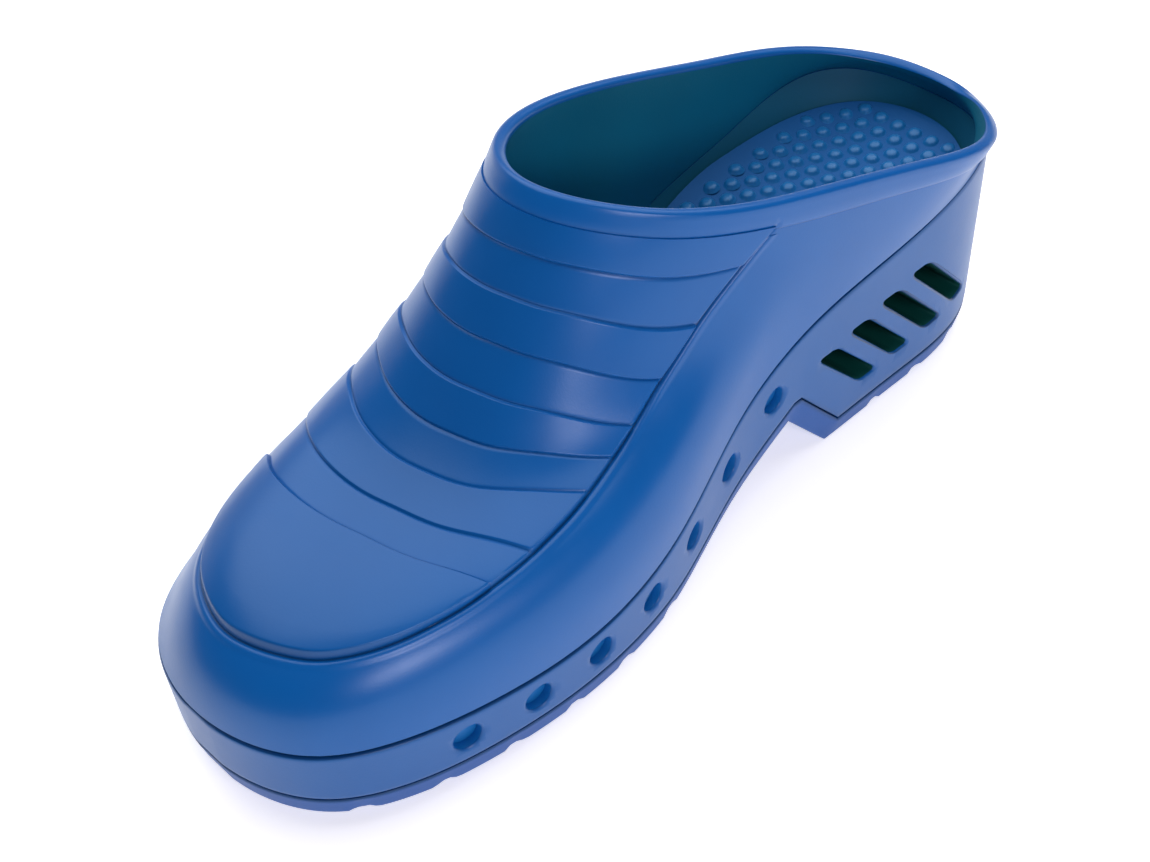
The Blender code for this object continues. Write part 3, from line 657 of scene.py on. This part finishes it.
def deck(loop, columns, height):
    # skin across a loop: rungs from medial to lateral, one point at each end of the shoe;
    # gives its points, faces and the numbers of its border in loop order
    half = len(loop) // 2
    part = np.linspace(0, 1, columns + 1)[None, :, None]
    medial = loop[:half:-1][:, None]
    lateral = loop[1:half][:, None]
    rungs = medial * (1 - part) + lateral * part
    across = np.linspace(-1, 1, columns + 1)
    level = height(rungs[..., 1], np.broadcast_to(across, rungs.shape[:2]))
    middle = np.concatenate([rungs, level[..., None]], -1)
    ends = np.array([loop[0], loop[half]])
    ends = np.concatenate([ends, height(ends[:, 1], np.ones(2))[:, None]], 1)
    points = np.concatenate([middle.reshape(-1, 3), ends])
    rows = half - 1
    number = np.arange(rows * (columns + 1)).reshape(rows, columns + 1)
    heel, toe = rows * (columns + 1), rows * (columns + 1) + 1
    fan = np.stack([np.full(columns, heel), number[0, 1:], number[0, :-1]], -1)
    tip = np.stack([np.full(columns, toe), number[-1, :-1], number[-1, 1:]], -1)
    faces = [gridFaces(rows, columns + 1), fan, tip]
    border = np.concatenate([[heel], number[:, -1], [toe], number[::-1, 0]])
    return points, faces, border


def joinLoops(first, second):  # band of quads between two loops of point numbers
    return np.stack([first, np.roll(first, -1), np.roll(second, -1), second], -1)


def stackPiece(name, top, bottom, rings, inside=0, paintedShading=()):
    # a closed solid: a deck on top, rings of points down its side, and a deck underneath;
    # the deck on top and the number of bands given as inside take the second material, and
    # the last argument says how much painted shade each ring takes, for a crease
    points = [top[0]]
    faces = list(top[1])
    start = len(top[0])
    before = top[2]
    for ring in rings:
        points.append(ring)
        number = np.arange(start, start + len(ring))
        faces.append(joinLoops(before, number))
        before = number
        start += len(ring)
    points.append(bottom[0])
    faces += [f[:, ::-1] + start for f in bottom[1]]
    faces.append(joinLoops(before, bottom[2] + start))
    second = sum(len(f) for f in faces[:len(top[1]) + inside]) if inside else 0
    total = sum(len(f) for f in faces)
    return makePiece(name, toWorld(np.concatenate(points)), faces,
                     finish=(np.arange(total) < second).astype(int),
                     paintedShade=np.concatenate([np.zeros(len(top[0]))]
                                           + [np.full(len(r), d) for r, d in zip(rings, paintedShading)]
                                           + [np.zeros(len(bottom[0]))]) if paintedShading else None)


def ringAt(share, out, z):
    return np.concatenate([outlineAt(share, out), np.broadcast_to(z, share.shape)[:, None]], 1)


def makeMidsole():
    # cup sole: deck of the seat, up the inside of the rim, over it and down the outer wall
    parts = rungParts()
    flare, inset = last["featherFlare"], last["seatInset"]
    seatShare = loopShares(parts, seatEdge)
    seat = deck(outlineAt(seatShare, seatEdge), 10, lambda s, a: seatHeight(s))
    footShare = loopShares(parts, 0.0)
    foot = deck(outlineAt(footShare, -0.0012), 10, lambda s, a: treadTop(s) + last["gap"])
    share = loopShares(parts, flare)
    top = featherHeight(share)
    rings = []
    low = seatHeight(outlineAt(seatShare, seatEdge)[:, 1])
    for part in np.linspace(0.15, 1, 6):
        mixed = seatShare + (share - seatShare) * part
        rings.append(ringAt(mixed, seatEdge + inset * part, low + (top - low) * part))
    rings.append(ringAt(share, flare - 0.0014, top))
    rings.append(ringAt(share, flare - 0.0009, top - 0.00008))
    low = treadTop(outlineAt(footShare, 0.0)[:, 1]) + last["gap"]
    high = top - last["gap"]
    for part in sole["wallRings"]:
        mixed = share + (footShare - share) * part
        z = high + (low - high) * part
        edge = quarterRound(sole["edgeRound"], (z - low) / sole["edgeTall"])
        lip = quarterRound(sole["edgeRound"], (top - z) / sole["lipTall"])
        rings.append(ringAt(mixed, flare * (1 - part) - edge - lip, z))
    # painted shade in the groove of the feather line, and a little where the tread begins
    paintedShading = [0.0] * 6 + [1.0, 1.0, 0.6, 0.2] + [0.0] * 13 + [0.2, 0.5, 0.8]
    return stackPiece("midsole_cup", seat, foot, rings, inside=6, paintedShading=paintedShading)


def ventPlaces():  # share and height of each vent, halfway between tread and feather line
    for side in (1, -1):
        scan = np.linspace(0, 1, 2001) if side > 0 else np.linspace(2, 1, 2001)
        line = outlineAt(scan)
        run = np.concatenate([[0], np.cumsum(np.linalg.norm(np.diff(line, axis=0), axis=1))])
        first = np.interp(sole["firstVent"], np.maximum.accumulate(line[:, 1]), run)
        share = np.interp(first - np.arange(sole["ventCount"]) * sole["ventPitch"], run, scan)
        station = outlineAt(share)[:, 1]
        yield from zip(share, (treadTop(station) + featherHeight(share)) / 2)


def slotOutline(tall, grow):  # a leaning box with round corners, in (station, height)
    corners = np.array([(-1, -1), (1, -1), (1, 1), (-1, 1)])
    start = np.radians([180, 270, 0, 90])
    turn = start[:, None] + np.radians(np.linspace(0, 90, 7))[None]
    radius = sole["slotCorner"]
    s = corners[:, :1] * (sole["slotWidth"] / 2 - radius) + (radius + grow) * np.cos(turn)
    z = corners[:, 1:] * (tall / 2 - radius) + (radius + grow) * np.sin(turn)
    return np.stack([(s + sole["slotLean"] * z).ravel(), z.ravel()], -1)


def addTube(points, faces, finish, rings, deep):
    # closed tube through rings of points; deep is the number of the finish of its deep part
    start = sum(len(p) for p in points)
    count = len(rings[0])
    number = start + np.arange(len(rings) * count).reshape(len(rings), count)
    points.append(np.concatenate(rings))
    for k, (a, b) in enumerate(zip(number, number[1:])):
        faces += joinLoops(a, b).tolist()
        finish += [deep if k == 0 else 0] * count
    faces += [number[0][::-1].tolist(), number[-1].tolist()]
    finish += [deep, 0]


def makeCutter(piece):
    # vents and slots as solid plugs whose mouths flare, so that each edge comes out rounded
    points, faces, finish = [], [], []
    turn = np.linspace(0, 2 * np.pi, 40, endpoint=False)[:, None]
    for share, height in ventPlaces():
        here = outlineAt(np.array([share]))[0]
        out = outlineAt(np.array([share]), 1.0)[0] - here
        side = np.array([-out[1], out[0], 0])
        away = np.array([out[0], out[1], 0])
        rings = []
        for depth, grow in ((-sole["ventDepth"], 0.0),) + sole["mouth"]:
            radius = sole["ventDiameter"] / 2 + grow
            ring = radius * (np.cos(turn) * side + np.sin(turn) * np.array([0, 0, 1.0]))
            rings.append(ring + np.array([here[0], here[1], height]) + depth * away)
        rings.append(rings[-1] + 0.006 * away)
        addTube(points, faces, finish, rings, 3)
    for k in range(sole["slotCount"]):
        tall = sole["slotHeight"] + k * sole["slotGrowth"]
        station = sole["firstSlot"] - k * sole["slotPitch"]
        height = sole["slotFoot"] + k * sole["slotClimb"] + tall / 2
        for side in (1, -1):
            share = shareAtStation(np.array([station / last["length"]]), 0, side)
            wallX = outlineAt(share)[0, 0]
            rings = []
            for depth, grow in ((-sole["slotDepth"], 0.0),) + sole["mouth"]:
                shape = slotOutline(tall, grow)
                bowShare = shareAtStation((station + shape[:, 0]) / last["length"], 0, side)
                # a flat end deep inside, and the mouth on the wall's own curve
                flat = depth == -sole["slotDepth"]
                x = np.full(len(shape), wallX) if flat else readCurve(outlineCurve, bowShare)[:, 0]
                rings.append(np.stack([x + side * depth, station + shape[:, 0],
                                       height + shape[:, 1]], -1))
            rings.append(rings[-1] + np.array([side * 0.01, 0, 0]))
            addTube(points, faces, finish, rings, 2)
    mesh = bpy.data.meshes.new("vent_plugs")
    mesh.from_pydata(toWorld(np.concatenate(points)).tolist(), [], faces)
    mesh.polygons.foreach_set("material_index", np.array(finish, dtype=np.int32))
    solid = bmesh.new()
    solid.from_mesh(mesh)
    bmesh.ops.recalc_face_normals(solid, faces=solid.faces[:])
    solid.to_mesh(mesh)
    solid.free()
    for look in piece.data.materials:
        mesh.materials.append(look)
    return addThing("vent_plugs", mesh)


def readArray(rows, key, kind=np.int32):  # one value from each row of a mesh's data
    found = np.zeros(len(rows), dtype=kind)
    rows.foreach_get(key, found)
    return found


def cutVents(piece):
    plug = makeCutter(piece)
    cut = piece.modifiers.new("vents", "BOOLEAN")
    cut.operation = "DIFFERENCE"
    cut.solver = "EXACT"
    cut.object = plug
    bpy.context.view_layer.update()
    cutPiece = piece.evaluated_get(bpy.context.evaluated_depsgraph_get())
    done = bpy.data.meshes.new_from_object(cutPiece)
    piece.modifiers.clear()
    piece.data = done
    # no painted crease shade inside the hollows
    shade = readArray(done.attributes["paintedShade"].data, "value", np.float32)
    hollow = readArray(done.polygons, "material_index") >= 2
    corner = readArray(done.loops, "vertex_index")
    shade[corner[np.repeat(hollow, readArray(done.polygons, "loop_total"))]] = 0
    done.attributes["paintedShade"].data.foreach_set("value", shade)
    done.shade_smooth()
    done.set_sharp_from_angle(angle=math.radians(38))
    bpy.data.objects.remove(plug)


def makeOutsole():
    # tread: a deck under the midsole, a side that slopes in, and a lugged underside
    parts = rungParts()
    share = loopShares(parts, 0.0)
    inset = last["treadInset"]
    top = deck(outlineAt(share, -sole["treadRound"]), 10, lambda s, a: treadTop(s))
    under = outlineAt(share, -inset - sole["treadRound"])
    low = deck(under, 48, lambda s, a: groundProfile(s) + lugLift(s, a))
    rings = []
    high = treadTop(outlineAt(share, 0.0)[:, 1])
    line = outlineAt(share, -inset)
    ground = groundProfile(line[:, 1]) + lugLift(line[:, 1], np.ones(len(share)))
    for part in (0.0, 0.03, 0.08, 0.2, 0.4, 0.6, 0.8, 0.92, 0.97, 1.0):
        z = high + (ground - high) * part
        edge = quarterRound(sole["treadRound"], (z - ground) / sole["treadRound"])
        lip = 0.0004 * (1 - np.clip((high - z) / 0.0004, 0, 1))
        rings.append(ringAt(share, -inset * part - edge - lip, z))
    # painted shade along the top of the tread, under the midsole
    paintedShading = [1.0, 1.0, 0.5] + [0.0] * 7
    return stackPiece("outsole_tread", top, low, rings, paintedShading=paintedShading)


# Footbed

footbed = {
    "nubPitch": 0.0064, "nubDiameter": 0.0046, "nubHeight": 0.0012,
    "nubStart": 0.008, "nubEnd": 0.62, "edge": 0.0002, "spread": 0.0019, "clearance": 0.0006,
    # half section of a nub: radius and height as shares of its own
    "nubProfile": ((1.22, -0.25), (1.10, 0.02), (1.0, 0.16), (0.9, 0.45), (0.74, 0.74),
                   (0.52, 0.92), (0.27, 0.99)),
}


def makeInsole():
    parts = rungParts()
    inset = seatEdge - footbed["clearance"]
    share = loopShares(parts, inset)
    foot = outlineAt(share, inset)
    low = deck(foot, 8, lambda s, a: seatHeight(s) + last["gap"])
    depth = featherHeight(share) - seatHeight(foot[:, 1])
    rise = bedHeight(foot[:, 1], np.ones(len(share))) - seatHeight(foot[:, 1])
    out = np.clip(rise / depth, 0, 1) * last["seatInset"]
    top = deck(outlineAt(share, inset + out), 60, bedHeight)
    return stackPiece("footbed_skin", top, low, [])


def makeNubs():
    # nubs on a staggered lattice: each a turned dome, from its foot's fillet to its crown
    pitch = footbed["nubPitch"]
    row = pitch * math.sqrt(3) / 2
    i, j = np.meshgrid(np.arange(-9, 10), np.arange(0, 60), indexing="ij")
    x = (i + 0.5 * (j % 2)) * pitch
    station = j * row + footbed["nubStart"]
    x, station = x.ravel(), station.ravel()
    # the footbed's top is wider than its seat by the slope of the cup's wall
    inset = seatEdge + footbed["spread"]
    part = station / last["length"]
    lateral, medial = (outlineAt(shareAtStation(part, inset, side), inset)[:, 0] for side in (1, -1))
    room = nearLine(np.stack([x, station], -1), outlineAt(np.linspace(0, 2, 1600), inset), 0.03)
    radius = footbed["nubDiameter"] / 2
    keep = (x < lateral) & (x > medial) & (room > radius + footbed["edge"])
    keep &= (station > footbed["nubStart"]) & (part < footbed["nubEnd"])
    x, station, lateral, medial = x[keep], station[keep], lateral[keep], medial[keep]
    across = (2 * x - lateral - medial) / (lateral - medial)
    base = bedHeight(station, across)
    slope = (bedHeight(station + 0.001, across) - bedHeight(station - 0.001, across)) / 0.002
    profile = np.array(footbed["nubProfile"])
    turn = np.linspace(0, 2 * np.pi, 18, endpoint=False)
    ring = np.stack([profile[:, :1] * np.cos(turn), profile[:, :1] * np.sin(turn),
                     np.broadcast_to(profile[:, 1:], (len(profile), len(turn)))], -1)
    dome = np.concatenate([ring.reshape(-1, 3), [[0, 0, 1.0]]])
    dome = dome * np.array([radius, radius, footbed["nubHeight"]])
    points = np.stack([x[:, None] + dome[None, :, 0], station[:, None] + dome[None, :, 1],
                       base[:, None] + dome[None, :, 2] + slope[:, None] * dome[None, :, 1]], -1)
    count = len(dome)
    faces = gridFaces(len(profile), len(turn), closed=True)
    lastRing = (len(profile) - 1) * len(turn) + np.arange(len(turn))
    crown = np.stack([lastRing, np.roll(lastRing, -1), np.full(len(turn), count - 1)], -1)
    floor = np.arange(len(turn))[::-1][None]
    shift = np.arange(len(x))[:, None, None] * count
    allFaces = [(f[None] + shift).reshape(-1, f.shape[1]) for f in (faces, crown, floor)]
    return makePiece("footbed_nubs", toWorld(points), allFaces, 60)


# Materials


def linear(hexColour):  # sRGB hex to linear: the standard curve, channel by channel
    channels = [int(hexColour[k:k + 2], 16) / 255 for k in (1, 3, 5)]
    return tuple(c / 12.92 if c <= 0.04045 else ((c + 0.055) / 1.055) ** 2.4 for c in channels)


def addNode(tree, kind, settings=None, links=None):
    # adds a shader node: settings name its properties or input sockets, links feed its inputs
    node = tree.nodes.new("ShaderNode" + kind)
    for key, value in (settings or {}).items():
        if isinstance(key, str) and hasattr(node, key):
            setattr(node, key, value)
        else:
            node.inputs[key].default_value = value
    for key, source in (links or {}).items():
        tree.links.new(source, node.inputs[key])
    return node


elastomer = {
    "looks": {
        # name, colour, shade, roughness, size of the grain in mm, strength of the grain
        "upper": ("injection-moulded satin elastomer", "#005DAC", "#0056A3", 0.32, 0.55, 0.10),
        # the inside row is a greener copy of the colour for the shell's inner wall: painted shade
        "inside": ("injection-moulded elastomer, inner wall, painted shade tint", "#006885", "#00607C", 0.50, 0.7, 0.15),
        # the cup row is a darker copy for the cup's inner wall: painted shade
        "cup": ("injection-moulded elastomer, cup wall, painted shade", "#005A78", "#005470", 0.60, 0.7, 0.15),
        # the recess row is a darker, greener copy for the slots' insides: painted shade
        "recess": ("injection-moulded elastomer, hollow, painted shade", "#00504C", "#004844", 0.55, 0.7, 0.15),
        # the vent row is a lighter copy of the sole's colour for the vents' floors: painted light
        "vent": ("injection-moulded sole elastomer, vent floor, painted light", "#0A6EB8", "#0866AC", 0.45, 0.7, 0.12),
        "sole": ("injection-moulded sole elastomer", "#0058A2", "#00519A", 0.36, 0.55, 0.12),
        "tread": ("moulded tread elastomer", "#0050A0", "#004896", 0.50, 0.8, 0.22),
        "footbed": ("moulded footbed elastomer, matt", "#005AA0", "#005296", 0.72, 0.5, 0.15),
        # the nubs row is polished for real, and lighter than the footbed: painted light
        "nubs": ("moulded footbed elastomer, polished, painted light", "#1A70B4", "#1467A8", 0.34, 0.5, 0.08),
    },
    # colour of the painted shade in creases, and the tint of reflections
    "paintedShade": "#003A70", "reflection": "#D4EAFF",
    "cloudSize": 0.022, "smearSize": 0.009,  # clouds in the colour, and patches of more gloss
}


def elastomerMaterial(name, colour, shade, roughness, grainMm, grain):
    # moulded thermoplastic elastomer: one deep colour through the mass, clouded a little by the
    # flow of the melt, darkened by painted shade where a crease is marked, under a satin skin with
    # the fine grain of the mould; the dye tints what the skin reflects head-on
    material = bpy.data.materials.new(name)
    material.use_nodes = True
    tree = material.node_tree
    shader = tree.nodes["Principled BSDF"]
    place = {"Vector": addNode(tree, "TexCoord").outputs["Object"]}
    cloud = addNode(tree, "TexNoise", {"Scale": 1 / elastomer["cloudSize"], "Detail": 3.0,
                                       "Roughness": 0.55}, place)
    through = addNode(tree, "Mix", {"data_type": "RGBA", 6: (*linear(colour), 1),
                                    7: (*linear(shade), 1)}, {0: cloud.outputs["Fac"]})
    # how much painted shade each point takes, mixed into the colour below
    paintedShade = addNode(tree, "Attribute", {"attribute_name": "paintedShade"})
    withPaintedShade = addNode(tree, "Mix", {"data_type": "RGBA", 7: (*linear(elastomer["paintedShade"]), 1)},
                   {0: paintedShade.outputs["Fac"], 6: through.outputs[2]})
    tree.links.new(withPaintedShade.outputs[2], shader.inputs["Base Color"])
    smear = addNode(tree, "TexNoise", {"Scale": 1 / elastomer["smearSize"], "Detail": 4.0}, place)
    rough = addNode(tree, "MapRange", {"To Min": roughness - 0.04, "To Max": roughness + 0.05},
                    {"Value": smear.outputs["Fac"]})
    tree.links.new(rough.outputs["Result"], shader.inputs["Roughness"])
    fine = addNode(tree, "TexNoise", {"Scale": 1000 / grainMm, "Detail": 2.0, "Roughness": 0.6}, place)
    relief = addNode(tree, "Bump", {"Strength": grain, "Distance": 0.0002},
                     {"Height": fine.outputs["Fac"]})
    tree.links.new(relief.outputs["Normal"], shader.inputs["Normal"])
    shader.inputs["IOR"].default_value = 1.50
    shader.inputs["Specular Tint"].default_value = (*linear(elastomer["reflection"]), 1)
    return material


# Stage

camera = {
    "azimuth": 47.518, "elevation": 44.413, "roll": -3.622, "distance": 0.465853,
    "target": (0.0107, -0.024375, 0.045), "focal": 1758.606, "imageWidth": 1150, "sensor": 36.0,
}


def makeCamera():
    # the camera looks from azimuth (0 is from the toe, towards +Y) and elevation to the target
    a, e, r = (math.radians(camera[k]) for k in ("azimuth", "elevation", "roll"))
    away = Vector((math.sin(a) * math.cos(e), -math.cos(a) * math.cos(e), math.sin(e)))
    right = Vector((math.cos(a), math.sin(a), 0))
    up = away.cross(right)
    turnedRight = math.cos(r) * right + math.sin(r) * up
    turnedUp = -math.sin(r) * right + math.cos(r) * up
    place = Vector(camera["target"]) + away * camera["distance"]
    data = bpy.data.cameras.new("camera")
    data.sensor_width = camera["sensor"]
    data.lens = camera["focal"] / camera["imageWidth"] * camera["sensor"]
    data.clip_start = 0.01
    thing = addThing("camera", data)
    rotation = Matrix((turnedRight, turnedUp, away)).transposed().to_4x4()
    thing.matrix_world = Matrix.Translation(place) @ rotation
    bpy.context.scene.camera = thing


lamps = (
    # name, place, size, watts, colour, aimed at
    ("softbox_top", (-0.37, 0.31, 1.20), (1.9, 1.9), 24.0, "#FFFFFF", (0, 0, 0.05)),
    ("softbox_lateral", (1.05, -0.22, 0.55), (0.40, 0.22), 5.2, "#FFE9EC", (0, -0.03, 0.05)),
    ("softbox_medial", (-1.20, 0.05, 0.28), (1.2, 0.45), 1.1, "#FFF2F5", (0, 0, 0.05)),
)


def makeLights():
    for name, place, size, watts, colour, aim in lamps:
        data = bpy.data.lights.new(name, "AREA")
        data.shape = "RECTANGLE"
        data.size, data.size_y = size
        data.energy = watts
        data.color = linear(colour)
        lamp = addThing(name, data)
        direction = Vector(aim) - Vector(place)
        lamp.rotation_euler = direction.to_track_quat("-Z", "Y").to_euler()
        lamp.location = place
    world = bpy.data.worlds.new("studio")
    world.use_nodes = True
    # a dim room for light and reflections, white where the camera sees past the floor
    tree = world.node_tree
    room = tree.nodes["Background"]
    room.inputs["Color"].default_value = (1, 1, 1, 1)
    room.inputs["Strength"].default_value = 0.10
    white = addNode(tree, "Background", {"Color": (1, 1, 1, 1), "Strength": 1.0})
    seen = addNode(tree, "LightPath")
    both = addNode(tree, "MixShader", None,
                   {0: seen.outputs["Is Camera Ray"], 1: room.outputs[0], 2: white.outputs[0]})
    tree.links.new(both.outputs[0], tree.nodes["World Output"].inputs["Surface"])
    bpy.context.scene.world = world
    bpy.context.scene.view_settings.view_transform = "Standard"


def makeFloor():
    mesh = bpy.data.meshes.new("floor")
    reach = 1.2
    corners = [(-reach, -reach, 0), (reach, -reach, 0), (reach, reach, 0), (-reach, reach, 0)]
    mesh.from_pydata(corners, [], [(0, 1, 2, 3)])
    floor = addThing("floor", mesh)
    material = bpy.data.materials.new("matt paper sweep")
    material.use_nodes = True
    shader = material.node_tree.nodes["Principled BSDF"]
    shader.inputs["Base Color"].default_value = (0.94, 0.94, 0.94, 1)
    shader.inputs["Roughness"].default_value = 0.9
    shader.inputs["Emission Color"].default_value = (1, 1, 1, 1)
    shader.inputs["Emission Strength"].default_value = 0.55  # lit from below, as a light table is
    mesh.materials.append(material)


makeCamera()
makeLights()
makeFloor()
print("stage made")

looks = {key: elastomerMaterial(*row) for key, row in elastomer["looks"].items()}


def dress(piece, *keys):  # gives the piece its materials, in the order of their numbers
    for key in keys:
        piece.data.materials.append(looks[key])


shell = makeUpper()
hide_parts("upper")
# the shell's inside takes the greener copy of the colour, painted shade
dress(shell, "upper", "inside")
panel = makePanel()
dress(panel, "upper")
print("upper made:", len(shell.data.polygons), len(panel.data.polygons))

cup = makeMidsole()
# darker copies for the cup's inner wall and the slots, painted shade, and a lighter one for the vents'
# floors, painted light
dress(cup, "sole", "cup", "recess", "vent")
cutVents(cup)
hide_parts("midsole")
tread = makeOutsole()
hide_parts("outsole")
dress(tread, "tread")
print("sole made:", len(cup.data.polygons), len(tread.data.polygons))

bed = makeInsole()
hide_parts("insole")
dress(bed, "footbed")
nubs = makeNubs()
# the nubs' lighter colour is painted light
dress(nubs, "nubs")
print("footbed made:", len(bed.data.polygons), len(nubs.data.polygons))
